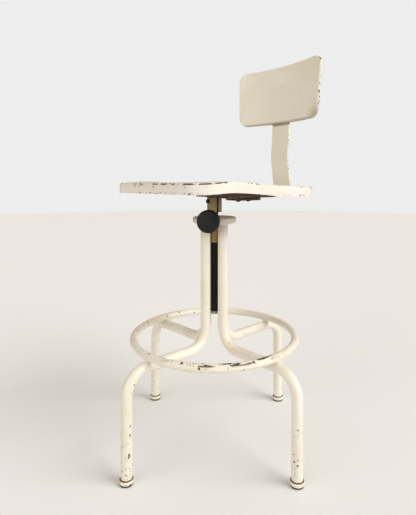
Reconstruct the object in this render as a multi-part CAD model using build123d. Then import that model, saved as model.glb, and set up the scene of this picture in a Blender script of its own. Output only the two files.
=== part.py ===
from build123d import *
import os
from math import atan, cos, degrees, pi, radians, sin, sqrt

# Drafting chair: a pressed steel seat and backrest on a post that turns and slides in a four-legged
# tube stand with a foot ring, held at its height by a clamp screw with a round knob.
#
# Millimetres. +Z is up, the floor is Z = 0 and the post's axis is the Z axis. The sitter faces -Y.

# ---- driving dimensions -------------------------------------------------------------------------
# stand
LEG_OD = 25.0
LEG_WALL = 1.5
LEG_NAMES = ("front", "left", "rear", "right")  # the sitter's left is +X
LEG_FIRST_ANGLE = -86.8  # azimuth of the front leg; the stand is turned a little under the seat
FOOT_RADIUS = 260.0  # post axis to the centre of each foot
CLUSTER_RADIUS = 31.0  # post axis to the centre of each tube where they stand together
ARM_Z = 237.0  # centre of the level arms
BEND_R = 52.0
RING_RADIUS = 204.5
RING_OD = 19.0
RING_WALL = 1.5
TOUCH = 0.05  # gap between tubes that only touch
RING_BEAD_R = 7.5  # weld where the ring crosses an arm
TUBE_BEAD_R = 3.5  # weld round the top of a tube

# foot
CAP_R = 16.5
CAP_BOTTOM = 3.5
CAP_TOP = 12.8
CAP_FLOOR = 1.5
CAP_LIP = 1.2  # thickness of the cup's mouth
CAP_LEAD = 1.0  # chamfer inside its mouth
PAD_R = 14.3
PAD_EDGE_R = 0.9
STUD_R = 4.0
BARB_R = 5.5
BARB_TIP_R = 3.0
BARB_HEIGHT = 3.5

# head of the stand
FLANGE_R = 56.0
FLANGE_BOTTOM = 546.5
FLANGE_TOP = 562.7
FLANGE_EDGE_R = 5.5
SLEEVE_R = 16.0
SLEEVE_BOTTOM = 498.0
SLEEVE_TOP = 565.0
SLEEVE_LIP = 3.0  # height of the lip that the bush rests on
LIP_GAP = 0.5  # the lip stands clear of the post
BUSH_R = 12.5
BUSH_DROP = 1.0  # top of the bush below the top of the sleeve
BUSH_SLIT = 1.2
RUN = 0.06  # radial clearance of a running fit

# post
POST_R = 10.0
POST_WALL = 5.0
POST_BOTTOM = 322.0
STOP_R = 11.5
STOP_HEIGHT = 7.0
STOP_EDGE_R = 1.5
STOP_PLUG = 14.0
MOVE_GAP = 0.3  # gap between bodies that move on each other and aren't a fit

# clamp
CLAMP_ANGLE = -50.8  # azimuth of the clamp screw
CLAMP_Z = 557.0
SCREW_R = 4.0
THREAD_PITCH = 1.25
THREAD_DEPTH = 0.55
PAD_THICK = 4.0
BOSS_R = 9.5
BOSS_CHAMFER = 1.0
BOSS_START = 50.0  # the starts and ends are distances from the post axis
BOSS_END = 63.0
KNOB_R = 28.0
KNOB_EDGE_R = 5.0
KNOB_CROWN = 1.6
KNOB_BACK_CHAMFER = 2.0
KNOB_FACE = 6.0  # resin in front of the insert
INSERT_R = 7.0
HUB_R = 11.0
HUB_CHAMFER = 1.0
HUB_FLARE = 1.5
HUB_START = 65.5
KNOB_START = 70.0
KNOB_END = 88.0

# seat
SEAT_WIDTH = 368.0
SEAT_FRONT = -192.0
SEAT_REAR = 200.0
SEAT_CORNER_R = 50.0
SEAT_EDGE_R = 6.0
SEAT_FRONT_Z = 649.8
SEAT_TILT = 1.4  # degrees, lower at the rear
SEAT_ARCH = 6.0  # rise of the side edges behind the front corners
SEAT_ARCH_AT = 0.25  # share of the depth, from the front, where that rise is greatest
SEAT_ARCH_END = 0.66  # share of the depth where it ends
SEAT_DISH = 12.0
SEAT_DISH_AT = 0.58  # share of the depth where the hollow is deepest
DISH_BORDER = 12.0  # level border round the hollow
DISH_POWER = 1.5  # above 1 gives softer sides
SEAT_FLANGE = 25.0
SEAT_SHEET = 1.6
SEAT_DEEP = 70.0  # the seat is cut from a block this deep
SURFACE_MARGIN = 14.0  # its top surface is made this far past its outline
SURFACE_COLUMNS = 25
SURFACE_ROWS = 27
SURFACE_FIT = 0.02
RIM_STEPS = 24

# under the seat
WEB_TOP = 617.0
WEB_THICK = 2.5
CHANNEL_HALF = 36.0
CHANNEL_HEIGHT = 30.0  # before the pan trims it
CHANNEL_GAP = 0.1  # between the channel and the pan
CHANNEL_FRONT = -32.0
CHANNEL_REAR = 160.0
SOCKET_WIDTH = 32.0
SOCKET_DEPTH = 27.0
SOCKET_SHEET = 3.4
SOCKET_CORNER_R = 4.4
SOCKET_BOTTOM = 575.0
SOCKET_SLIT = 5.0
SOCKET_SLIT_Y = -2.3
SOCKET_BEAD = 3.0
SOCKET_BEAD_CHAMFER = 2.7
COTTER_R = 3.0
COTTER_X = -8.5
COTTER_Z = 602.5
COTTER_FLATS = 10.0
COTTER_HEAD = 4.0
COTTER_NUT = 5.0
HEX_CORNERS = 1.12  # turned corners of a hexagon over its flats
HEX_CHAMFER = 0.6
BOLT_R = 4.0
BOLT_HOLE = 20.0  # length of the tool that makes a bolt hole
HEAD_R = 8.5
HEAD_THICK = 4.0
HEAD_EDGE_R = 3.0
BOLT_YS = (84.0, 122.0)
CLAMP_WIDTH = 76.0
CLAMP_LENGTH = 98.0
CLAMP_CORNER_R = 34.0
CLAMP_DEPTH = 6.5
CLAMP_SHEET = 2.5
CLAMP_Y = 103.0
WASHER_R = 8.5
WASHER_THICK = 1.5
NUT_FLATS = 13.0
NUT_THICK = 5.5
BOLT_TAIL = 1.5  # how far a bolt stands out of its nut

# backrest
BAR_WIDTH = 63.0
BAR_THICK = 5.0
BAR_START_Y = 20.0
BAR_HEEL_Y = 266.5
BAR_HEEL_R = 25.0
BAR_KINK = (251.3, 718.0)
BAR_KINK_R = 60.0
BAR_LEAN = 0.066  # run over rise above the kink
BAR_TOP_Z = 962.0
BACK_BOTTOM_Z = 826.0
BACK_HEIGHT = 171.0
BACK_WIDTH_TOP = 320.0
BACK_WIDTH_BOTTOM = 302.0
BACK_CORNER_R = 30.0
BACK_CURVE_R = 520.0
BACK_SHEET = 1.5
BACK_FLANGE = 8.0
BACK_EDGE_R = 3.0
NOTCH_GAP = 1.5  # the notch for the bar is this much wider
SAME = 0.01  # lengths closer than this are the same
STITCH_R = 3.0
STITCH_LENGTH = 24.0
STITCH_HEIGHTS = (38.0, 108.0)
PACKING = (80.0, 118.0, 3.6)  # width, height and least thickness of the packing behind the backrest
PACKING_RISE = 14.0  # its lower edge above the backrest's
PACKING_CORNER_R = 6.0

# ---- worked out from those ----------------------------------------------------------------------
LEG_R = LEG_OD / 2
RING_R = RING_OD / 2
RING_Z = ARM_Z + LEG_R + RING_R + TOUCH
LEG_BOTTOM = CAP_BOTTOM + CAP_FLOOR
WEB_BOTTOM = WEB_TOP - WEB_THICK
BAR_Z = WEB_BOTTOM - BAR_THICK / 2
PLATE_TOP = WEB_BOTTOM - BAR_THICK
PLATE_BOTTOM = PLATE_TOP - CLAMP_SHEET
SEAT_MID_Y = (SEAT_FRONT + SEAT_REAR) / 2
SEAT_DEPTH = SEAT_REAR - SEAT_FRONT
LEAN_ANGLE = degrees(atan(BAR_LEAN))
INSERT_END = KNOB_END - KNOB_FACE
CAP_MOUTH_R = LEG_R + CAP_LIP
SLEEVE_HEIGHT = SLEEVE_TOP - SLEEVE_BOTTOM


# ---- small helpers ------------------------------------------------------------------------------
def ring_solid(outer, inner, bottom, top):
    """An upright ring between two radii and two heights."""
    height = top - bottom
    body = Cylinder(outer, height, align=(Align.CENTER, Align.CENTER, Align.MIN))
    hole = Cylinder(inner, height, align=(Align.CENTER, Align.CENTER, Align.MIN))
    return Pos(0, 0, bottom) * (body - hole)


def radial_rod(radius, start, end):
    """A rod on the clamp screw's axis, between two distances from the post's axis."""
    rod = Cylinder(radius, end - start, align=(Align.CENTER, Align.CENTER, Align.MIN))
    return clamp_place() * (Pos(0, 0, start) * rod)


def clamp_place():
    """Turns a thing made along +Z from the origin onto the clamp screw's axis."""
    return Pos(0, 0, CLAMP_Z) * Rot(0, 0, CLAMP_ANGLE) * Rot(0, 90, 0)


def at_leg(index):
    """Turns a thing made on the +X side of the post to a leg's place."""
    return Rot(0, 0, LEG_FIRST_ANGLE + 90 * index)


def smooth_bump(t, peak, end):
    """0 at t = 0 and t = end, 1 at t = peak, and level at all three."""
    side = t / peak if t < peak else (end - t) / (end - peak)
    side = min(max(side, 0.0), 1.0)
    return sin(side * pi / 2) ** 2


# ---- stand --------------------------------------------------------------------------------------
def leg_path():
    """Centreline of a leg in its own upright plane, as a wire in the XZ plane."""
    with BuildLine(Plane.XZ) as line:
        FilletPolyline(
            (CLUSTER_RADIUS, FLANGE_BOTTOM),
            (CLUSTER_RADIUS, ARM_Z),
            (FOOT_RADIUS, ARM_Z),
            (FOOT_RADIUS, LEG_BOTTOM),
            radius=BEND_R,
        )
    return line.wires()[0]


def swept_round(path, radius):
    section = Plane(origin=path @ 0, z_dir=path % 0) * Circle(radius)
    return sweep(section, path=path)


def leg_tube(index):
    path = leg_path()
    tube = swept_round(path, LEG_R) - swept_round(path, LEG_R - LEG_WALL)
    return at_leg(index) * tube


def foot_ring():
    return Pos(0, 0, RING_Z) * (Torus(RING_RADIUS, RING_R) - Torus(RING_RADIUS, RING_R - RING_WALL))


def ring_welds():
    """The bead at each of the four crossings of ring and arm."""
    ring = Pos(0, 0, RING_Z) * Torus(RING_RADIUS, RING_R)
    arm = Pos(RING_RADIUS, 0, ARM_Z) * Rot(0, 90, 0) * Cylinder(LEG_R, 4 * RING_BEAD_R)
    bead = Pos(RING_RADIUS, 0, ARM_Z + LEG_R) * Sphere(RING_BEAD_R)
    bead = bead - ring - arm
    return [at_leg(i) * bead for i in range(4)]


def tube_welds():
    """The fillet weld round the top of each tube, under the flange."""
    bead = Pos(CLUSTER_RADIUS, 0, FLANGE_BOTTOM) * Torus(LEG_R, TUBE_BEAD_R)
    below = Pos(CLUSTER_RADIUS, 0, FLANGE_BOTTOM) * Box(
        2 * LEG_OD, 2 * LEG_OD, LEG_OD, align=(Align.CENTER, Align.CENTER, Align.MAX)
    )
    tube = Pos(CLUSTER_RADIUS, 0, FLANGE_BOTTOM) * Cylinder(LEG_R, LEG_OD)
    sleeve = Pos(0, 0, FLANGE_BOTTOM) * Cylinder(SLEEVE_R, LEG_OD)
    bead = (bead & below) - tube - sleeve
    return [at_leg(i) * bead for i in range(4)]


def top_flange():
    disc = ring_solid(FLANGE_R, SLEEVE_R, FLANGE_BOTTOM, FLANGE_TOP)
    rim = disc.edges().filter_by(GeomType.CIRCLE).group_by(SortBy.RADIUS)[-1]
    disc = fillet(rim, FLANGE_EDGE_R)
    return disc - radial_rod(SCREW_R + RUN, 0, 2 * FLANGE_R)


def clamp_boss():
    """The threaded boss that the clamp screw turns in, welded to the flange's rim."""
    boss = radial_rod(BOSS_R, BOSS_START, BOSS_END)
    boss = chamfer(boss.edges().filter_by(GeomType.CIRCLE).sort_by(SortBy.DISTANCE)[-1:], BOSS_CHAMFER)
    flange = Pos(0, 0, FLANGE_BOTTOM) * Cylinder(
        FLANGE_R, FLANGE_TOP - FLANGE_BOTTOM, align=(Align.CENTER, Align.CENTER, Align.MIN)
    )
    flange = fillet(flange.edges().filter_by(GeomType.CIRCLE), FLANGE_EDGE_R)
    return boss - flange - radial_rod(SCREW_R + RUN, 0, 2 * BOSS_END)


def guide_sleeve():
    sleeve = ring_solid(SLEEVE_R, BUSH_R + RUN, SLEEVE_BOTTOM, SLEEVE_TOP)
    lip = ring_solid(SLEEVE_R, POST_R + LIP_GAP, SLEEVE_BOTTOM, SLEEVE_BOTTOM + SLEEVE_LIP)
    return sleeve + lip - radial_rod(SCREW_R + RUN, 0, 2 * SLEEVE_R)


def foot_cap(index):
    """A bulged cup pressed over the end of the leg."""
    mid = (CAP_BOTTOM + CAP_TOP) / 2
    with BuildSketch(Plane.XZ) as half:
        with BuildLine():
            Line((STUD_R, CAP_BOTTOM), (PAD_R, CAP_BOTTOM))
            ThreePointArc((PAD_R, CAP_BOTTOM), (CAP_R, mid), (CAP_MOUTH_R, CAP_TOP))
            Polyline(
                (CAP_MOUTH_R, CAP_TOP),
                (LEG_R, CAP_TOP - CAP_LEAD),
                (LEG_R, LEG_BOTTOM),
                (STUD_R, LEG_BOTTOM),
                (STUD_R, CAP_BOTTOM),
            )
        make_face()
    cup = revolve(half.sketch, axis=Axis.Z)
    return at_leg(index) * (Pos(FOOT_RADIUS, 0, 0) * cup)


def foot_pad(index):
    """The rubber pad under a cup, with the stud that holds it in the cup's floor."""
    disc = Cylinder(PAD_R, CAP_BOTTOM, align=(Align.CENTER, Align.CENTER, Align.MIN))
    disc = fillet(disc.edges().sort_by(Axis.Z)[:1], PAD_EDGE_R)
    stud = Cylinder(STUD_R, LEG_BOTTOM, align=(Align.CENTER, Align.CENTER, Align.MIN))
    barb = Cone(BARB_R, BARB_TIP_R, BARB_HEIGHT, align=(Align.CENTER, Align.CENTER, Align.MIN))
    pad = disc + stud + Pos(0, 0, LEG_BOTTOM) * barb
    return at_leg(index) * (Pos(FOOT_RADIUS, 0, 0) * pad)


# ---- clamp --------------------------------------------------------------------------------------
def clamp_pad():
    """The brass pad between the screw's tip and the guide bush."""
    return radial_rod(SCREW_R - MOVE_GAP, BUSH_R + TOUCH, BUSH_R + TOUCH + PAD_THICK)


def clamp_screw():
    """The screw, with its thread as a row of grooves."""
    start = BUSH_R + TOUCH + PAD_THICK
    root = SCREW_R - THREAD_DEPTH
    points = [(0, start), (root, start)]
    turns = int((HUB_START - start) / THREAD_PITCH)
    for turn in range(turns):
        low = start + turn * THREAD_PITCH
        points += [(SCREW_R, low + THREAD_PITCH / 2), (root, low + THREAD_PITCH)]
    shank = start + (turns + 0.5) * THREAD_PITCH
    points += [(SCREW_R, shank), (SCREW_R, INSERT_END), (0, INSERT_END)]
    half = make_face(Plane.XZ * Polyline(*points, close=True))
    return clamp_place() * revolve(half, axis=Axis.Z)


def knob_insert():
    """The metal insert that is moulded into the knob and pinned to the screw."""
    return radial_rod(INSERT_R, HUB_START, INSERT_END) - radial_rod(SCREW_R, 0, KNOB_END)


def clamp_knob():
    """The moulded knob: a hub and a thick disc with a crowned face."""
    rim = KNOB_END - KNOB_CROWN - KNOB_EDGE_R
    face_r = KNOB_R - KNOB_EDGE_R
    crown_r = (face_r**2 + KNOB_CROWN**2) / (2 * KNOB_CROWN)
    half_way = KNOB_END - crown_r + sqrt(crown_r**2 - face_r**2 / 4)
    with BuildSketch(Plane.XZ) as half:
        with BuildLine():
            Polyline(
                (0, INSERT_END),
                (INSERT_R, INSERT_END),
                (INSERT_R, HUB_START),
                (HUB_R - HUB_CHAMFER, HUB_START),
                (HUB_R, HUB_START + HUB_CHAMFER),
                (HUB_R + HUB_FLARE, KNOB_START),
                (KNOB_R - KNOB_BACK_CHAMFER, KNOB_START),
                (KNOB_R, KNOB_START + KNOB_BACK_CHAMFER),
                (KNOB_R, rim),
            )
            ThreePointArc(
                (KNOB_R, rim),
                (face_r + KNOB_EDGE_R * cos(pi / 4), rim + KNOB_EDGE_R * sin(pi / 4)),
                (face_r, rim + KNOB_EDGE_R),
            )
            ThreePointArc((face_r, rim + KNOB_EDGE_R), (face_r / 2, half_way), (0, KNOB_END))
            Line((0, KNOB_END), (0, INSERT_END))
        make_face()
    return clamp_place() * revolve(half.sketch, axis=Axis.Z)


# ---- post ---------------------------------------------------------------------------------------
def guide_bush():
    """The split bush that lines the sleeve; the clamp squeezes it on the post."""
    bush = ring_solid(BUSH_R, POST_R + RUN, SLEEVE_BOTTOM + SLEEVE_LIP, SLEEVE_TOP - BUSH_DROP)
    slit = Pos(BUSH_R, 0, SLEEVE_BOTTOM) * Box(BUSH_R, BUSH_SLIT, 4 * SLEEVE_HEIGHT)
    return bush - Rot(0, 0, CLAMP_ANGLE + 180) * slit


def post():
    """A thick tube, with a notch near its top that the cotter bolt sits in."""
    tube = ring_solid(POST_R, POST_R - POST_WALL, POST_BOTTOM, WEB_BOTTOM)
    return tube - cotter_rod(-SOCKET_DEPTH, SOCKET_DEPTH)


def post_stop():
    """The plug at the foot of the post; its rim can't pass the sleeve."""
    rim = Cylinder(STOP_R, STOP_HEIGHT, align=(Align.CENTER, Align.CENTER, Align.MAX))
    rim = fillet(rim.edges().sort_by(Axis.Z)[:1], STOP_EDGE_R)
    plug = Cylinder(POST_R - POST_WALL - RUN, STOP_PLUG, align=(Align.CENTER, Align.CENTER, Align.MIN))
    return Pos(0, 0, POST_BOTTOM - MOVE_GAP) * (rim + plug)


# ---- seat ---------------------------------------------------------------------------------------
def seat_edge_z(y):
    """Height of the seat's rim at a fore-and-aft place."""
    t = (y - SEAT_FRONT) / SEAT_DEPTH
    fall = (y - SEAT_FRONT) * sin(radians(SEAT_TILT))
    return SEAT_FRONT_Z - fall + SEAT_ARCH * smooth_bump(t, SEAT_ARCH_AT, SEAT_ARCH_END)


def seat_top_z(x, y):
    """Height of the seat's top surface: the rim's height less a round-bottomed hollow."""
    across = min(abs(x) / (SEAT_WIDTH / 2 - DISH_BORDER), 1.0)
    t = (y - SEAT_FRONT - DISH_BORDER) / (SEAT_DEPTH - 2 * DISH_BORDER)
    along = smooth_bump(t, SEAT_DISH_AT, 1.0)
    return seat_edge_z(y) - SEAT_DISH * cos(across * pi / 2) ** DISH_POWER * along


def seat_surface(drop):
    """The seat's top surface, lowered by drop, as a face that reaches past the outline."""
    half = SEAT_WIDTH / 2 + SURFACE_MARGIN
    depth = SEAT_DEPTH + 2 * SURFACE_MARGIN
    grid = []
    for i in range(SURFACE_COLUMNS):
        x = -half + 2 * half * i / (SURFACE_COLUMNS - 1)
        line = []
        for j in range(SURFACE_ROWS):
            y = SEAT_FRONT - SURFACE_MARGIN + depth * j / (SURFACE_ROWS - 1)
            line.append(Vector(x, y, seat_top_z(x, y) - drop))
        grid.append(line)
    return Face.make_surface_from_array_of_points(grid, tol=SURFACE_FIT)


def seat_block(inset, drop, edge_r):
    """Everything under the seat's surface and inside its outline, to well below the flange."""
    outline = RectangleRounded(
        SEAT_WIDTH - 2 * inset, SEAT_DEPTH - 2 * inset, SEAT_CORNER_R - inset
    )
    prism = Pos(0, SEAT_MID_Y, SEAT_FRONT_Z - 2 * SEAT_DEEP) * extrude(outline, 3 * SEAT_DEEP)
    under = extrude(seat_surface(drop), amount=SEAT_DEEP, dir=(0, 0, -1))
    block = prism & under
    if edge_r:
        block = fillet([e for e in block.edges() if is_on_rim(e)], edge_r)
    return block


def is_on_rim(edge):
    """True for the level edges round the top of the seat's block."""
    is_level = edge.bounding_box().size.Z < SEAT_DEEP / 2
    return is_level and edge.center().Z > SEAT_FRONT_Z - SEAT_DEEP / 2


def flange_cutter():
    """Everything below the lower edge of the seat's flange."""
    low = SEAT_FRONT_Z - 2 * SEAT_DEEP
    points = []
    for k in range(RIM_STEPS + 1):
        y = SEAT_FRONT + SEAT_DEPTH * k / RIM_STEPS
        points.append((0, y, seat_edge_z(y) - SEAT_FLANGE))
    first, last = points[0], points[-1]
    start = (0, SEAT_FRONT - SURFACE_MARGIN, first[2])
    stop = (0, SEAT_REAR + SURFACE_MARGIN, last[2])
    edge = Spline(*points)
    outline = [
        Line(start, first),
        edge,
        Line(last, stop),
        Line(stop, (0, stop[1], low)),
        Line((0, stop[1], low), (0, start[1], low)),
        Line((0, start[1], low), start),
    ]
    side = Face(Wire(outline))
    return Pos(-SEAT_WIDTH, 0, 0) * extrude(side, amount=2 * SEAT_WIDTH, dir=(1, 0, 0))


def seat_pan():
    outer = seat_block(0, 0, SEAT_EDGE_R)
    inner = seat_block(SEAT_SHEET, SEAT_SHEET, SEAT_EDGE_R - SEAT_SHEET)
    return outer - inner - flange_cutter()


def seat_channel():
    """The upturned channel welded under the pan; it carries the socket and the back bar."""
    length = CHANNEL_REAR - CHANNEL_FRONT
    mid = (CHANNEL_REAR + CHANNEL_FRONT) / 2
    low_middle = (Align.CENTER, Align.CENTER, Align.MIN)
    outer = Box(2 * CHANNEL_HALF, length, CHANNEL_HEIGHT, align=low_middle)
    inner = Box(2 * (CHANNEL_HALF - WEB_THICK), 2 * length, CHANNEL_HEIGHT, align=low_middle)
    raw = Pos(0, mid, WEB_BOTTOM) * (outer - Pos(0, 0, WEB_THICK) * inner)
    space = seat_block(2 * SEAT_SHEET, SEAT_SHEET + CHANNEL_GAP, 0)
    return bored(raw & space, WEB_TOP)


def bored(shape, height):
    """The shape with the two bolt holes through whatever it has near that height."""
    for y in BOLT_YS:
        shape -= Pos(0, y, height) * Cylinder(BOLT_R, BOLT_HOLE)
    return shape


def socket_prism(grow, bottom):
    """The socket's outline, grown all round, from a height up to the channel."""
    outline = RectangleRounded(SOCKET_WIDTH + 2 * grow, SOCKET_DEPTH + 2 * grow, SOCKET_CORNER_R + grow)
    return Pos(0, 0, bottom) * extrude(outline, WEB_BOTTOM - bottom)


def post_socket():
    """The socket that takes the head of the post, folded from strip, with its seam left open."""
    body = socket_prism(0, SOCKET_BOTTOM) - socket_prism(-SOCKET_SHEET, SOCKET_BOTTOM)
    height = WEB_BOTTOM - SOCKET_BOTTOM
    slit = Pos(SOCKET_WIDTH / 2, SOCKET_SLIT_Y, SOCKET_BOTTOM) * Box(
        3 * SOCKET_SHEET, SOCKET_SLIT, height, align=(Align.CENTER, Align.CENTER, Align.MIN)
    )
    return body - slit - cotter_rod(-SOCKET_DEPTH, SOCKET_DEPTH)


def socket_weld():
    """The fillet weld between the socket and the channel."""
    bead = socket_prism(SOCKET_BEAD, WEB_BOTTOM - SOCKET_BEAD)
    bead = chamfer(bead.faces().sort_by(Axis.Z)[0].edges(), SOCKET_BEAD_CHAMFER)
    return bead - socket_prism(0, SOCKET_BOTTOM)


def cotter_rod(start, end):
    """A rod on the cotter bolt's axis, half sunk in the post's side, between two places along Y."""
    rod = Cylinder(COTTER_R, end - start, align=(Align.CENTER, Align.CENTER, Align.MIN))
    return Pos(COTTER_X, start, COTTER_Z) * Rot(-90, 0, 0) * rod


def hexagon(flats, thick):
    """A nut or a head, corners taken off, with its lower face at the origin."""
    blank = extrude(RegularPolygon(flats / 2, 6, major_radius=False), thick)
    disc = Cylinder(flats / 2 * HEX_CORNERS, thick, align=(Align.CENTER, Align.CENTER, Align.MIN))
    return blank & chamfer(disc.edges().filter_by(GeomType.CIRCLE), HEX_CHAMFER)


def cotter_bolt():
    head = Pos(COTTER_X, -SOCKET_DEPTH / 2, COTTER_Z) * Rot(90, 0, 0) * hexagon(COTTER_FLATS, COTTER_HEAD)
    return cotter_rod(-SOCKET_DEPTH / 2, SOCKET_DEPTH / 2 + COTTER_NUT) + head


def cotter_nut():
    nut = Pos(COTTER_X, SOCKET_DEPTH / 2, COTTER_Z) * Rot(-90, 0, 0) * hexagon(COTTER_FLATS, COTTER_NUT)
    return nut - cotter_rod(-SOCKET_DEPTH, SOCKET_DEPTH)


# ---- backrest -----------------------------------------------------------------------------------
def bar_y(z):
    """Centre of the back bar above its kink."""
    return BAR_KINK[0] + BAR_LEAN * (z - BAR_KINK[1])


def back_bar():
    """One flat strip: level under the seat, turned up behind it, then leaning back."""
    with BuildLine(Plane.YZ) as line:
        FilletPolyline(
            (BAR_START_Y, BAR_Z),
            (BAR_HEEL_Y, BAR_Z),
            BAR_KINK,
            (bar_y(BAR_TOP_Z), BAR_TOP_Z),
            radius=(BAR_HEEL_R, BAR_KINK_R),
        )
    path = line.wires()[0]
    section = Plane(origin=path @ 0, x_dir=(1, 0, 0), z_dir=path % 0) * Rectangle(BAR_WIDTH, BAR_THICK)
    return bored(sweep(section, path=path), BAR_Z)


def clamp_plate():
    """The pressed cap under the bar that the nuts pull up, with its rim turned down."""
    outer = extrude(RectangleRounded(CLAMP_WIDTH, CLAMP_LENGTH, CLAMP_CORNER_R), CLAMP_DEPTH)
    outer = fillet(outer.faces().sort_by(Axis.Z)[-1].edges(), CLAMP_SHEET)
    inside = extrude(
        RectangleRounded(
            CLAMP_WIDTH - 2 * CLAMP_SHEET, CLAMP_LENGTH - 2 * CLAMP_SHEET, CLAMP_CORNER_R - CLAMP_SHEET
        ),
        CLAMP_DEPTH - CLAMP_SHEET,
    )
    return bored(Pos(0, CLAMP_Y, PLATE_TOP - CLAMP_DEPTH) * (outer - inside), PLATE_BOTTOM)


def bolts():
    """Round-headed bolts, down through channel, bar and plate."""
    made = []
    foot = PLATE_BOTTOM - WASHER_THICK - NUT_THICK - BOLT_TAIL
    for y in BOLT_YS:
        shank = Cylinder(BOLT_R, WEB_TOP - foot, align=(Align.CENTER, Align.CENTER, Align.MAX))
        head = Cylinder(HEAD_R, HEAD_THICK, align=(Align.CENTER, Align.CENTER, Align.MIN))
        head = fillet(head.edges().sort_by(Axis.Z)[-1:], HEAD_EDGE_R)
        made.append(Pos(0, y, WEB_TOP) * (shank + head))
    return made


def washers():
    return [
        Pos(0, y, 0) * ring_solid(WASHER_R, BOLT_R, PLATE_BOTTOM - WASHER_THICK, PLATE_BOTTOM)
        for y in BOLT_YS
    ]


def nuts():
    made = []
    for y in BOLT_YS:
        nut = hexagon(NUT_FLATS, NUT_THICK) - Cylinder(BOLT_R, 4 * NUT_THICK)
        made.append(Pos(0, y, PLATE_BOTTOM - WASHER_THICK - NUT_THICK) * nut)
    return made


def back_outline(inset):
    """The backrest's outline, wider at the top, with round corners."""
    top, bottom = BACK_WIDTH_TOP / 2 - inset, BACK_WIDTH_BOTTOM / 2 - inset
    corners = [(-bottom, inset), (bottom, inset), (top, BACK_HEIGHT - inset), (-top, BACK_HEIGHT - inset)]
    face = make_face(Polyline(*corners, close=True))
    return fillet(face.vertices(), BACK_CORNER_R - inset)


def back_layer(inset, near, far):
    """The part of an upright curved wall inside the outline; near and far are distances behind the
    front face's middle."""
    prism = extrude(Plane.XZ * back_outline(inset), amount=BACK_WIDTH_TOP / 2, both=True)
    height = 2 * BACK_HEIGHT
    wall = Cylinder(BACK_CURVE_R + far, height) - Cylinder(BACK_CURVE_R + near, height)
    return prism & (Pos(0, -BACK_CURVE_R, BACK_HEIGHT / 2) * wall)


def place_back(shape):
    """From the backrest's own frame, front face at the origin, to its place on the bar."""
    gap = (BAR_THICK / 2 + PACKING[2] + BACK_SHEET) / cos(radians(LEAN_ANGLE))
    return Pos(0, bar_y(BACK_BOTTOM_Z) - gap, BACK_BOTTOM_Z) * Rot(-LEAN_ANGLE, 0, 0) * shape


def back_plate():
    """A shallow pressed pan, hollow side to the rear, notched below for the bar."""
    outer = back_layer(0, 0, BACK_FLANGE)
    front = [e for e in outer.edges() if on_cylinder(e, BACK_CURVE_R)]
    outer = fillet(front, BACK_EDGE_R)
    inner = back_layer(BACK_SHEET, BACK_SHEET, 2 * BACK_FLANGE)
    size = 2 * BACK_FLANGE
    notch = Box(BAR_WIDTH + NOTCH_GAP, size, size, align=(Align.CENTER, Align.MIN, Align.CENTER))
    return place_back(outer - inner - Pos(0, BACK_SHEET, 0) * notch)


def on_cylinder(edge, radius):
    """True if an edge of the backrest lies on the wall of that radius."""
    points = [edge @ t for t in (0, 0.5, 1)]
    return all(abs(sqrt(p.X**2 + (p.Y + BACK_CURVE_R) ** 2) - radius) < SAME for p in points)


def back_packing():
    """The packing between sheet and bar: hollow in front to fit the sheet, flat behind for the bar."""
    width, height, thick = PACKING
    depth = BACK_SHEET + thick
    block = Pos(0, 0, PACKING_RISE) * Box(width, depth, height, align=(Align.CENTER, Align.MIN, Align.MIN))
    block = fillet(block.edges().filter_by(Axis.Y), PACKING_CORNER_R)
    sheet = Pos(0, -BACK_CURVE_R, BACK_HEIGHT / 2) * Cylinder(BACK_CURVE_R + BACK_SHEET, 2 * BACK_HEIGHT)
    return place_back(block - sheet)


def back_welds():
    """Four stitches between the sides of the bar and the packing."""
    made = []
    bar = back_bar()
    packing_face = BACK_SHEET + PACKING[2]
    for side in (-1, 1):
        for height in STITCH_HEIGHTS:
            bead = Cylinder(STITCH_R, STITCH_LENGTH)
            bead = fillet(bead.edges().filter_by(GeomType.CIRCLE), STITCH_R / 2)
            bead = bead - Pos(0, -STITCH_R, 0) * Box(4 * STITCH_R, 2 * STITCH_R, 2 * STITCH_LENGTH)
            bead = Pos(side * BAR_WIDTH / 2, packing_face, height) * bead
            made.append(place_back(bead) - bar)
    return made


# ---- write every sub-part -----------------------------------------------------------------------
def write(name, shape):
    solids = shape if isinstance(shape, list) else [shape]
    solids = [s for item in solids for s in item.solids()]
    export_step(Compound(children=solids) if len(solids) > 1 else solids[0], f"parts/{name}.step")
    print(name, len(solids), "solids", round(sum(s.volume for s in solids)), "mm3")


def main():
    os.makedirs("parts", exist_ok=True)
    for index, name in enumerate(LEG_NAMES):
        write(f"leg_tube_{name}", leg_tube(index))
        write(f"foot_cap_{name}", foot_cap(index))
        write(f"foot_pad_{name}", foot_pad(index))
    write("foot_ring", foot_ring())
    write("ring_welds", ring_welds())
    write("tube_welds", tube_welds())
    write("top_flange", top_flange())
    write("clamp_boss", clamp_boss())
    write("guide_sleeve", guide_sleeve())
    write("clamp_pad", clamp_pad())
    write("clamp_screw", clamp_screw())
    write("knob_insert", knob_insert())
    write("clamp_knob", clamp_knob())
    write("guide_bush", guide_bush())
    write("post", post())
    write("post_stop", post_stop())
    write("seat_pan", seat_pan())
    write("seat_channel", seat_channel())
    write("post_socket", post_socket())
    write("socket_weld", socket_weld())
    write("cotter_bolt", cotter_bolt())
    write("cotter_nut", cotter_nut())
    write("back_bar", back_bar())
    write("clamp_plate", clamp_plate())
    write("back_bolts", bolts())
    write("back_washers", washers())
    write("back_nuts", nuts())
    write("back_plate", back_plate())
    write("back_packing", back_packing())
    write("back_welds", back_welds())


main()
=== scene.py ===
from math import cos, pi, radians, sin

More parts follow.
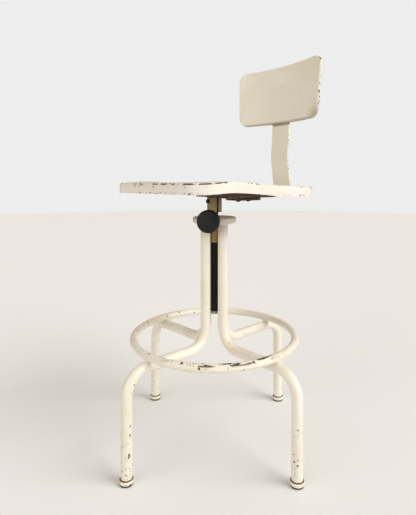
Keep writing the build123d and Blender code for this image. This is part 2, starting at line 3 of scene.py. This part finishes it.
import bpy
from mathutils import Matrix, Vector


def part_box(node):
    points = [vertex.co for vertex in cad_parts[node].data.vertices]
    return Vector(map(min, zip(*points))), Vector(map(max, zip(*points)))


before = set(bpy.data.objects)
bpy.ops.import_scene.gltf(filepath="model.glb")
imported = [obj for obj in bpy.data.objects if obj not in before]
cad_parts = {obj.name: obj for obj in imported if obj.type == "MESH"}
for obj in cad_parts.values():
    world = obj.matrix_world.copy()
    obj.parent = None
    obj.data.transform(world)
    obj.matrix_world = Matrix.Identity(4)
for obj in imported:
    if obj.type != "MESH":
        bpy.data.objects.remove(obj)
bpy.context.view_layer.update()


def rim_height(y):
    """The highest point of the seat pan close to a place along Y."""
    close = 0.009
    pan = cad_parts["seat_pan"].data
    return max(v.co.z for v in pan.vertices if abs(v.co.y - y) < close)


# ---- sizes and places read from the frame, in metres --------------------------------------------
RING_LOW, RING_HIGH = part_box("foot_ring")
RING_TUBE = RING_HIGH.z - RING_LOW.z
RING_RADIUS = (RING_HIGH.x - RING_LOW.x - RING_TUBE) / 2
SEAT_LOW, SEAT_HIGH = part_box("seat_pan")
SEAT_FRONT, SEAT_REAR, SEAT_SIDE = SEAT_LOW.y, SEAT_HIGH.y, SEAT_HIGH.x
SEAT_RIM = rim_height(SEAT_FRONT)
SEAT_SLOPE = (SEAT_RIM - rim_height(SEAT_REAR)) / (SEAT_REAR - SEAT_FRONT)
BACK_LOW, BACK_HIGH = (corner.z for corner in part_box("back_plate"))
BAR_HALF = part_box("back_bar")[1].x
CAP_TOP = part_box("foot_cap_front")[1].z
FLANGE_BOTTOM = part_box("top_flange")[0].z
SOCKET_BOTTOM, SOCKET_TOP = (corner.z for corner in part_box("post_socket"))

# ---- camera and light ---------------------------------------------------------------------------
VIEW_AZIMUTH = radians(49.03)  # how far the seat's front is turned to the left, seen by the camera
CAMERA_DISTANCE = 1.110  # from the camera to the post, along the view
CAMERA_RIGHT = 0.0206  # how far the camera stands to the right of the post
CAMERA_HEIGHT = 0.650
IMAGE_HEIGHT = 515.0
FOCAL = 430.0  # in the same units as the image's height
SENSOR = 36.0
SHIFT_ACROSS, SHIFT_UP = -0.028, -0.145  # as shares of the image's height

SUN_COLOUR = (1.0, 0.99, 0.97)
WALL_COLOUR = (0.855, 0.85, 0.85, 1)
ROOM_COLOUR = (1.0, 0.80, 0.48, 1)
ROOM_STRENGTH = 0.24
FLOOR_COLOUR = (0.82, 0.83, 0.86, 1)
FLOOR_ROUGHNESS = 0.9
FLOOR_RADIUS = 9.0
FLOOR_CORNERS = 96


def from_camera(right, away, up):
    """A point given to the right of, beyond and above the foot of the post, as the camera sees it."""
    x = right * cos(VIEW_AZIMUTH) - away * sin(VIEW_AZIMUTH)
    y = right * sin(VIEW_AZIMUTH) + away * cos(VIEW_AZIMUTH)
    return Vector((x, y, up))


def make_camera():
    data = bpy.data.cameras.new("camera")
    data.lens = FOCAL / IMAGE_HEIGHT * SENSOR
    data.sensor_width = SENSOR
    data.shift_x = SHIFT_ACROSS
    data.shift_y = SHIFT_UP
    camera = bpy.data.objects.new("camera", data)
    bpy.context.collection.objects.link(camera)
    camera.location = from_camera(CAMERA_RIGHT, -CAMERA_DISTANCE, CAMERA_HEIGHT)
    camera.rotation_euler = (pi / 2, 0, VIEW_AZIMUTH)
    bpy.context.scene.camera = camera


def soft_sun(name, source, strength, angle):
    """A broad even light from source, which is right of, beyond and above the chair; angle, in
    degrees, is how broad it is."""
    data = bpy.data.lights.new(name, "SUN")
    data.energy = strength
    data.angle = radians(angle)
    data.color = SUN_COLOUR
    light = bpy.data.objects.new(name, data)
    bpy.context.collection.objects.link(light)
    light.rotation_euler = (-from_camera(*source)).to_track_quat("-Z", "Y").to_euler()


def make_lights():
    soft_sun("key", (0.85, -0.42, 0.55), strength=2.6, angle=50)
    soft_sun("fill", (-0.75, -0.75, 0.30), strength=1.25, angle=60)
    soft_sun("top", (0.1, 0.2, 1.0), strength=0.85, angle=90)


def make_world():
    """The camera sees a plain pale wall, and the chair is lit by a dimmer, warmer room."""
    world = bpy.data.worlds.new("studio")
    bpy.context.scene.world = world
    world.use_nodes = True
    tree = world.node_tree
    tree.nodes.clear()
    seen = tree.nodes.new("ShaderNodeBackground")
    seen.inputs["Color"].default_value = WALL_COLOUR
    felt = tree.nodes.new("ShaderNodeBackground")
    felt.inputs["Color"].default_value = ROOM_COLOUR
    felt.inputs["Strength"].default_value = ROOM_STRENGTH
    path = tree.nodes.new("ShaderNodeLightPath")
    pick = tree.nodes.new("ShaderNodeMixShader")
    out = tree.nodes.new("ShaderNodeOutputWorld")
    tree.links.new(path.outputs["Is Camera Ray"], pick.inputs[0])
    tree.links.new(felt.outputs[0], pick.inputs[1])
    tree.links.new(seen.outputs[0], pick.inputs[2])
    tree.links.new(pick.outputs[0], out.inputs["Surface"])


def make_floor():
    bpy.ops.mesh.primitive_circle_add(
        vertices=FLOOR_CORNERS, radius=FLOOR_RADIUS, fill_type="NGON")
    floor = bpy.context.object
    floor.name = "floor"
    material = bpy.data.materials.new("floor")
    material.use_nodes = True
    shader = material.node_tree.nodes["Principled BSDF"]
    shader.inputs["Base Color"].default_value = FLOOR_COLOUR
    shader.inputs["Roughness"].default_value = FLOOR_ROUGHNESS
    floor.data.materials.append(material)


# ---- materials ----------------------------------------------------------------------------------
class Paint:
    """One material's node tree, built by short calls that return sockets. Lengths are in metres,
    masks run from 0 to 1, and nx, ny and nz are the surface's own direction."""

    MIX_SHARE, MIX_FIRST, MIX_SECOND, MIX_RESULT = 0, 6, 7, 2  # the colour sockets of a Mix node

    def __init__(self, name):
        self.material = bpy.data.materials.new(name)
        self.material.use_nodes = True
        self.tree = self.material.node_tree
        self.shader = self.tree.nodes["Principled BSDF"]
        coordinates = self.tree.nodes.new("ShaderNodeTexCoord")
        self.place = coordinates.outputs["Object"]
        self.x, self.y, self.z = self.parts(self.place)
        self.nx, self.ny, self.nz = self.parts(coordinates.outputs["Normal"])

    def feed(self, socket, value):
        """Links a socket to the input, or puts a constant on it."""
        if isinstance(value, bpy.types.NodeSocket):
            self.tree.links.new(value, socket)
        else:
            socket.default_value = value

    def node(self, kind, inputs=(), **settings):
        made = self.tree.nodes.new(kind)
        for key, value in settings.items():
            setattr(made, key, value)
        for key, value in dict(inputs).items():
            self.feed(made.inputs[key], value)
        return made

    def parts(self, vector):
        return self.node("ShaderNodeSeparateXYZ", {0: vector}).outputs[:3]

    def join(self, x, y, z):
        return self.node("ShaderNodeCombineXYZ", {0: x, 1: y, 2: z}).outputs[0]

    def math(self, operation, *values):
        made = self.node("ShaderNodeMath", operation=operation)
        for socket, value in zip(made.inputs, values):
            self.feed(socket, value)
        return made.outputs[0]

    def plus(self, first, second):
        return self.math("ADD", first, second)

    def minus(self, first, second):
        return self.math("SUBTRACT", first, second)

    def times(self, *values):
        product = values[0]
        for value in values[1:]:
            product = self.math("MULTIPLY", product, value)
        return product

    def either(self, *masks):
        most = masks[0]
        for mask in masks[1:]:
            most = self.math("MAXIMUM", most, mask)
        return most

    def size_of(self, value):
        return self.math("ABSOLUTE", value)

    def rise(self, value, low, high):
        """0 below low, 1 above high, smooth between; low above high turns it round."""
        inputs = {"Value": value, "From Min": low, "From Max": high}
        made = self.node("ShaderNodeMapRange", inputs, interpolation_type="SMOOTHSTEP")
        return made.outputs[0]

    def near(self, value, middle, far, full):
        """1 within full of the middle, 0 beyond far of it, smooth between."""
        return self.rise(self.size_of(self.minus(value, middle)), far, full)

    def span(self, value, low, high):
        """Maps 0 to low and 1 to high."""
        inputs = {"Value": value, "To Min": low, "To Max": high}
        return self.node("ShaderNodeMapRange", inputs).outputs[0]

    def noise(self, size, detail=3.0, rough=0.55, place=None):
        """Noise from 0 to 1, whose lumps are about size metres across."""
        inputs = {
            "Vector": place or self.place, "Scale": 1 / size, "Detail": detail, "Roughness": rough,
        }
        return self.node("ShaderNodeTexNoise", inputs).outputs[0]

    def warped(self, size, reach, place=None, seed=0.0):
        """The place, moved about by up to reach metres; seed gives another pattern."""
        place = place or self.place
        inputs = {"Vector": place, "Scale": 1 / size, "Detail": 2.0}
        wander = self.node("ShaderNodeTexNoise", inputs).outputs["Color"]
        half = (0.5, 0.5, 0.5)
        centred = self.node("ShaderNodeVectorMath", {0: wander, 1: half}, operation="SUBTRACT")
        steps = {0: centred.outputs[0], 1: (2 * reach,) * 3, 2: place}
        moved = self.node("ShaderNodeVectorMath", steps, operation="MULTIPLY_ADD")
        shift = {0: moved.outputs[0], 1: (seed, 1.7 * seed, 0.6 * seed)}
        return self.node("ShaderNodeVectorMath", shift, operation="ADD").outputs[0]

    def chips(self, size, share, place):
        """1 in ragged chips up to size metres across, in that share of the cells, 0 elsewhere.
        The second value is 1 in a halo about each chip."""
        cell_size = 1.6 * size
        growth, largest = 2.5, 0.36  # a chip's radius in its cell, from how lucky the cell is
        cell = self.node("ShaderNodeTexVoronoi", {"Vector": place, "Scale": 1 / cell_size})
        luck = self.parts(cell.outputs["Color"])[0]
        over = self.minus(self.plus(luck, share), 1.0)
        reach = self.math("MINIMUM", self.math("MULTIPLY", over, growth), largest)
        inside = self.minus(reach, cell.outputs["Distance"])
        return self.rise(inside, -0.03, 0.03), self.rise(inside, -0.22, 0.05)

    def mix(self, share, first, second):
        made = self.node("ShaderNodeMix", data_type="RGBA")
        self.feed(made.inputs[self.MIX_SHARE], share)
        self.feed(made.inputs[self.MIX_FIRST], first)
        self.feed(made.inputs[self.MIX_SECOND], second)
        return made.outputs[self.MIX_RESULT]

    def bump(self, height, distance, below=None):
        made = self.node("ShaderNodeBump", {"Height": height, "Distance": distance})
        if below:
            self.feed(made.inputs["Normal"], below)
        return made.outputs["Normal"]

    def finish(self, colour, roughness, normal=None, **constants):
        self.feed(self.shader.inputs["Base Color"], colour)
        self.feed(self.shader.inputs["Roughness"], roughness)
        if normal:
            self.feed(self.shader.inputs["Normal"], normal)
        for name, value in constants.items():
            self.shader.inputs[name.replace("_", " ")].default_value = value
        return self.material


def tone(red, green, blue):
    return (red, green, blue, 1.0)


# Each enamel has a fresh tone and an aged one.
CREAM = tone(0.82, 0.79, 0.72), tone(0.78, 0.72, 0.585)
IVORY = tone(0.83, 0.81, 0.77), tone(0.79, 0.75, 0.67)
PUTTY = tone(0.79, 0.755, 0.67), tone(0.76, 0.71, 0.60)
# Painted shade: the cream-painted parts under the seat take this near-black brown in place of their
# paint.
UNDERSIDE_IN_SHADE = tone(0.075, 0.045, 0.018), tone(0.035, 0.021, 0.009)
# Painted shade: a golden brown for the cream paint of the socket and the guide sleeve, which sit in the
# shade of the seat and knob.
SOCKET_IN_SHADE = tone(0.44, 0.32, 0.125), tone(0.24, 0.155, 0.05)
# A golden brown for grime, for the halos about chips, and for painted shade under the seat and between
# parts.
GRIME_AND_SHADE = tone(0.19, 0.115, 0.03)
CHALK = tone(0.88, 0.88, 0.86)
RUST_DARK = tone(0.018, 0.010, 0.008)
RUST = tone(0.105, 0.040, 0.022)

CLOUD_SIZE, MOTTLE_SIZE, STREAK_SIZE = 0.11, 0.018, 0.012
LARGE_CHIP, SMALL_CHIP, SPECK = 0.0095, 0.0042, 0.0018
RUST_SIZE = 0.006
SKIN_LUMP, SKIN_DEPTH, CHIP_DEPTH = 0.0045, 0.00010, 0.00035


def enamel(name, tones, grime, share, wear=None, dirt_and_shade=None, chalk=None):
    """Old enamel on steel: a warm, uneven film with specks, ragged chips to dark steel, and rust in
    them. share is how much of it is chipped. wear(paint) gives where the film is rubbed through
    and where it chips more, the mask function for grime and painted shade gives where the film
    is darkened, and chalk(paint) where it is pale."""
    paint = Paint(name)
    fresh, aged = tones
    rubbed, tender = wear(paint) if wear else (None, None)
    clouds = paint.rise(paint.noise(CLOUD_SIZE, 4.0), 0.35, 0.72)
    mottle = paint.rise(paint.noise(MOTTLE_SIZE, 4.0, 0.6), 0.40, 0.75)
    film = paint.mix(clouds, fresh, aged)
    film = paint.mix(paint.times(mottle, 0.35), film, aged)
    # Grime and painted shade: the film darkens towards the given grime colour where the mask says,
    # broken up by streaks.
    if dirt_and_shade:
        streaks = paint.span(paint.noise(STREAK_SIZE, 5.0, 0.65), 0.45, 1.0)
        film = paint.mix(paint.times(dirt_and_shade(paint), streaks), film, grime)
    if chalk:
        film = paint.mix(chalk(paint), film, CHALK)

    weak_areas = paint.rise(paint.noise(0.07), 0.45, 0.75)
    loose = paint.plus(paint.times(weak_areas, 2.2 * share), share * 0.4)
    if tender:
        loose = paint.plus(loose, paint.times(tender, 0.34))
    small, small_halo = paint.chips(SMALL_CHIP, loose, paint.warped(0.0035, reach=0.0016))
    large, large_halo = paint.chips(
        LARGE_CHIP, paint.times(loose, 0.42), paint.warped(0.006, reach=0.0035, seed=3.1))
    specks, _ = paint.chips(
        SPECK, paint.times(loose, 0.95), paint.warped(0.002, reach=0.0006, seed=7.7))
    bare = paint.either(small, large, specks)
    halo = paint.either(small_halo, large_halo)
    if rubbed:
        bare = paint.either(bare, rubbed)

    rusty = paint.rise(paint.noise(RUST_SIZE, 3.0), 0.42, 0.62)
    steel = paint.mix(rusty, RUST_DARK, RUST)
    film = paint.mix(paint.times(halo, 0.28), film, grime)
    colour = paint.mix(bare, film, steel)
    skin = paint.span(paint.noise(0.03, 2.0), 0.26, 0.44)
    roughness = paint.either(skin, paint.times(bare, 0.72))
    lumps = paint.bump(paint.noise(SKIN_LUMP, 2.0), SKIN_DEPTH)
    edges = paint.bump(paint.minus(1.0, bare), CHIP_DEPTH, lumps)
    return paint.finish(colour, roughness, edges, Coat_Weight=0.25, Coat_Roughness=0.22)


def tube_wear(paint):
    """The legs chip most near the floor and on the arms' tops."""
    low = paint.rise(paint.z, 0.26, 0.03)
    top = paint.times(paint.rise(paint.nz, 0.3, 0.9), 0.5)
    crest = paint.rise(paint.nz, 0.93, 1.0)
    rubbed = paint.times(crest, paint.rise(paint.noise(0.02, 4.0), 0.66, 0.70))
    return rubbed, paint.times(paint.either(low, top), 0.42)


def tube_dirt_and_shade(paint):
    """Painted shade just under the head flange and on the sides of the column's tubes that face
    the post, and grime in the foot caps' seams.
    """
    # Painted shade: the tubes darken just under the head flange.
    head = paint.rise(paint.z, FLANGE_BOTTOM - 0.0465, FLANGE_BOTTOM + 0.0015)
    seam = paint.near(paint.z, CAP_TOP, far=0.0016, full=0.0005)
    # Painted shade: the column's tubes darken on the sides that face the post.
    outward = paint.plus(paint.times(paint.x, paint.nx), paint.times(paint.y, paint.ny))
    column = paint.rise(paint.z, 0.24, 0.34)
    inner_shade = paint.times(paint.rise(outward, 0.002, -0.020), column)
    return paint.either(paint.times(head, 0.7), paint.times(seam, 1.6), paint.times(inner_shade, 0.45))


def head_dirt(paint):
    """Uneven grime all over."""
    return paint.span(paint.noise(0.03), 0.2, 0.7)


def socket_shade(paint):
    """Painted shade that deepens towards the weld under the seat."""
    return paint.rise(paint.z, SOCKET_BOTTOM + 0.010, SOCKET_TOP - 0.0025)


def ring_wear(paint):
    """Heels have rubbed the ring's top through at the sitter's front left, in long ragged patches."""
    left_share, front_share = 0.86, 0.50  # the direction of the rubbed side
    angle = paint.math("ARCTAN2", paint.y, paint.x)
    along = paint.times(angle, RING_RADIUS)
    squares = paint.plus(paint.times(paint.x, paint.x), paint.times(paint.y, paint.y))
    out = paint.minus(paint.math("SQRT", squares), RING_RADIUS)
    unrolled = paint.join(paint.times(along, 0.22), out, paint.z)
    ragged = paint.warped(0.004, 0.0016, unrolled)
    towards = paint.minus(paint.times(paint.x, left_share), paint.times(paint.y, front_share))
    front = paint.rise(towards, 0.14, 0.195)
    top = paint.rise(paint.nz, 0.25, 0.80)
    patches = paint.rise(paint.noise(0.012, 3.0, 0.5, ragged), 0.55, 0.575)
    tender = paint.times(
        paint.either(paint.times(front, 0.9), 0.25), paint.either(top, 0.35))
    return paint.times(patches, front, top), tender


def seat_wear(paint):
    """The pressed edge is rubbed to a thin line, and chips run along both edges of the rim."""
    lower_edge, upper_edge = 0.0235, 0.0075  # below the rim's highest point
    turn = paint.times(paint.rise(paint.nz, 0.20, 0.42), paint.rise(paint.nz, 0.93, 0.74))
    ragged = paint.warped(0.006, 0.002, seed=1.3)
    left = paint.rise(paint.x, SEAT_SIDE - 0.204, SEAT_SIDE - 0.104)
    front = paint.rise(paint.y, SEAT_FRONT + 0.062, SEAT_FRONT + 0.012)
    corner = paint.times(left, front)
    worn = paint.plus(paint.noise(0.05, 5.0, 0.7, ragged), paint.times(corner, 0.09))
    line = paint.times(turn, paint.rise(worn, 0.53, 0.57))

    upright = paint.rise(paint.size_of(paint.nz), 0.5, 0.2)
    fall = paint.times(paint.minus(paint.y, SEAT_FRONT), SEAT_SLOPE)
    below = paint.minus(paint.minus(SEAT_RIM, fall), paint.z)
    lower = paint.times(upright, paint.near(below, lower_edge, far=0.004, full=0.001))
    upper = paint.times(upright, paint.near(below, upper_edge, far=0.006, full=0.002))
    gone = paint.times(lower, paint.rise(paint.noise(0.009, 4.0, 0.6, ragged), 0.60, 0.63))
    tender = paint.either(
        turn, paint.times(lower, 0.7), paint.times(upper, 0.55), paint.times(upright, 0.12))
    return paint.either(line, gone), paint.times(tender, 0.85)


def seat_stain_and_shade(paint):
    """The pan's underside is darkened as painted shade, and its top is a little stained in the
    hollow.
    """
    # Painted shade: faces that look downwards are darkened.
    under = paint.rise(paint.nz, -0.2, -0.7)
    flat = paint.rise(paint.nz, 0.97, 0.999)
    hollow = paint.times(flat, paint.rise(paint.noise(0.06), 0.45, 0.7), 0.25)
    return paint.either(under, hollow)


def back_wear(paint):
    """The backrest is chipped along its turned edges, most at the sitter's left."""
    facing = paint.size_of(paint.ny)
    turn = paint.times(paint.rise(facing, 0.93, 0.6), paint.rise(facing, 0.05, 0.4))
    line = paint.times(turn, paint.rise(paint.noise(0.012, 4.0, 0.6), 0.62, 0.66))
    left = paint.rise(paint.x, 0.05, 0.15)
    edge = paint.rise(facing, 0.95, 0.7)
    return line, paint.times(edge, paint.either(left, 0.45))


def back_dirt(paint):
    """Dirt along the lower edge, more of it at the sitter's left corner."""
    lower = paint.rise(paint.z, BACK_LOW + 0.010, BACK_LOW + 0.001)
    left = paint.rise(paint.x, 0.10, 0.15)
    corner = paint.times(left, paint.rise(paint.z, BACK_LOW + 0.05, BACK_LOW))
    return paint.times(paint.either(lower, corner), 0.8)


def back_chalk(paint):
    """A broken pale stain high in the middle of the backrest's front."""
    across = paint.rise(paint.size_of(paint.x), 0.042, 0.012)
    up = paint.near(paint.z, BACK_HIGH - 0.037, far=0.022, full=0.006)
    front = paint.rise(paint.ny, -0.7, -0.95)
    broken = paint.rise(paint.noise(0.007, 4.0, 0.65), 0.46, 0.60)
    return paint.times(across, up, front, broken, 0.75)


def bar_shade(paint):
    """A painted shadow line where the bar goes up behind the backrest's lower edge, and painted
    shade under the seat.
    """
    # Painted shadow: a brown line just below the backrest's lower edge.
    line = paint.near(paint.z, BACK_LOW - 0.002, far=0.007, full=0.001)
    # Painted shade: the bar darkens where it runs under the seat.
    under_seat_shade = paint.rise(paint.y, SEAT_REAR + 0.010, SEAT_REAR - 0.030)
    return paint.either(line, paint.times(under_seat_shade, 2.4))


def bar_wear(paint):
    """The strip is chipped along its two long edges."""
    side = paint.rise(paint.size_of(paint.nx), 0.3, 0.8)
    edge = paint.rise(paint.size_of(paint.x), BAR_HALF - 0.004, BAR_HALF)
    rubbed = paint.times(side, paint.rise(paint.noise(0.010, 4.0), 0.65, 0.68))
    return rubbed, paint.times(edge, 0.8)


def dull_metal(name, light, dark, rust_share, metallic=0.8):
    """Bare or blackened metal with a brown bloom."""
    paint = Paint(name)
    bloom = paint.rise(paint.noise(0.008, 5.0, 0.65), 0.72 - 0.4 * rust_share, 0.80)
    colour = paint.mix(paint.rise(paint.noise(0.004, 3.0), 0.3, 0.7), dark, light)
    colour = paint.mix(bloom, colour, RUST)
    skin = paint.span(paint.noise(0.003, 2.0), 0.28, 0.5)
    roughness = paint.either(skin, paint.times(bloom, 0.8))
    normal = paint.bump(paint.noise(0.0015, 3.0), 0.00008)
    return paint.finish(colour, roughness, normal, Metallic=metallic)


def black_post(name):
    """Blacked steel, with fine lengthwise rubs that show brown."""
    black, brown = tone(0.008, 0.008, 0.008), tone(0.13, 0.085, 0.03)
    paint = Paint(name)
    drawn = paint.join(paint.x, paint.y, paint.times(paint.z, 0.06))
    rubs = paint.rise(paint.noise(0.0022, 4.0, 0.6, drawn), 0.66, 0.78)
    colour = paint.mix(paint.times(rubs, 0.55), black, brown)
    roughness = paint.span(paint.noise(0.02, 3.0), 0.32, 0.5)
    normal = paint.bump(rubs, 0.00004)
    return paint.finish(colour, roughness, normal, Specular_IOR_Level=0.25)


def black_resin(name):
    """Black moulded resin, dulled and dusty, with fine scratches."""
    black, dusty = tone(0.003, 0.004, 0.004), tone(0.014, 0.016, 0.013)
    scratched = tone(0.10, 0.10, 0.09)
    paint = Paint(name)
    dust = paint.rise(paint.noise(0.009, 5.0, 0.6), 0.45, 0.85)
    drawn = paint.join(paint.times(paint.x, 0.1), paint.y, paint.z)
    scratch = paint.rise(paint.noise(0.0012, 2.0, 0.5, drawn), 0.68, 0.76)
    colour = paint.mix(paint.times(dust, 0.5), black, dusty)
    colour = paint.mix(paint.times(scratch, 0.35), colour, scratched)
    roughness = paint.span(paint.noise(0.006, 3.0), 0.30, 0.55)
    normal = paint.bump(scratch, 0.00005)
    return paint.finish(colour, roughness, normal, Specular_IOR_Level=0.3)


def rubber(name):
    """Dull black rubber, dusty low down."""
    black, dusty = tone(0.012, 0.012, 0.012), tone(0.16, 0.13, 0.10)
    paint = Paint(name)
    low = paint.rise(paint.z, 0.004, 0.0)
    dust = paint.times(low, paint.rise(paint.noise(0.003, 4.0), 0.4, 0.6), 0.6)
    colour = paint.mix(dust, black, dusty)
    roughness = paint.span(paint.noise(0.004), 0.7, 0.95)
    return paint.finish(colour, roughness, paint.bump(paint.noise(0.001), 0.0001))


def nylon(name):
    """Natural nylon, yellowed in patches."""
    natural, yellowed = tone(0.72, 0.66, 0.52), tone(0.5, 0.42, 0.28)
    paint = Paint(name)
    colour = paint.mix(paint.rise(paint.noise(0.01), 0.4, 0.7), natural, yellowed)
    return paint.finish(colour, paint.span(paint.noise(0.004), 0.4, 0.6))


def make_looks():
    bright = tone(0.55, 0.52, 0.46), tone(0.36, 0.33, 0.28)
    dark = tone(0.05, 0.04, 0.03), tone(0.015, 0.012, 0.010)
    brass = tone(0.70, 0.50, 0.20), tone(0.45, 0.30, 0.10)
    return {
        "tube": enamel("cream_tube", CREAM, GRIME_AND_SHADE, 0.055, wear=tube_wear, dirt_and_shade=tube_dirt_and_shade),
        "ring": enamel("cream_ring", CREAM, GRIME_AND_SHADE, 0.08, wear=ring_wear),
        "head": enamel("cream_head", CREAM, GRIME_AND_SHADE, 0.06, dirt_and_shade=head_dirt),
        "seat": enamel("ivory_seat", IVORY, GRIME_AND_SHADE, 0.05, wear=seat_wear, dirt_and_shade=seat_stain_and_shade),
        "back": enamel(
            "putty_back", PUTTY, GRIME_AND_SHADE, 0.03, wear=back_wear, dirt_and_shade=back_dirt, chalk=back_chalk),
        "bar": enamel("putty_bar", PUTTY, GRIME_AND_SHADE, 0.03, wear=bar_wear, dirt_and_shade=bar_shade),
        # Painted shade: the channel, clamp plate and socket weld under the seat are drawn near-black.
        "under": enamel("shade_dark_under", UNDERSIDE_IN_SHADE, RUST_DARK, 0.15),
        # Painted shade on the socket and the guide sleeve.
        "socket": enamel("shade_dark_socket", SOCKET_IN_SHADE, GRIME_AND_SHADE, 0.05, dirt_and_shade=socket_shade),
        "post": black_post("black_post"),
        "rubber": rubber("dull_rubber"),
        "knob": black_resin("black_resin"),
        "bright": dull_metal("bright_steel", *bright, rust_share=0.2, metallic=1.0),
        "dark": dull_metal("dark_steel", *dark, rust_share=0.35),
        "brass": dull_metal("dull_brass", *brass, rust_share=0.1, metallic=1.0),
        "nylon": nylon("aged_nylon"),
    }


LOOK_OF = {
    "leg_tube": "tube", "foot_cap": "tube", "foot_pad": "rubber", "foot_ring": "ring",
    "ring_welds": "ring", "tube_welds": "head", "top_flange": "head", "clamp_boss": "head",
    "guide_sleeve": "socket", "guide_bush": "nylon", "post": "post", "post_stop": "bright",
    "post_socket": "socket", "socket_weld": "under", "cotter": "dark", "seat_pan": "seat",
    "seat_channel": "under", "back_bar": "bar", "clamp_plate": "under", "back_bolts": "dark",
    "back_washers": "dark", "back_nuts": "dark", "back_plate": "back", "back_packing": "bar",
    "back_welds": "bar", "clamp_pad": "brass", "clamp_screw": "bright", "knob_insert": "brass",
    "clamp_knob": "knob",
}


def paint_nodes():
    """Gives every CAD node the look whose key is the longest start of its name."""
    looks = make_looks()
    for name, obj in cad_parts.items():
        key = max((k for k in LOOK_OF if name.startswith(k)), key=len)
        obj.data.materials.clear()
        obj.data.materials.append(looks[LOOK_OF[key]])


make_camera()
make_lights()
make_world()
make_floor()
bpy.context.scene.view_settings.view_transform = "Standard"
paint_nodes()
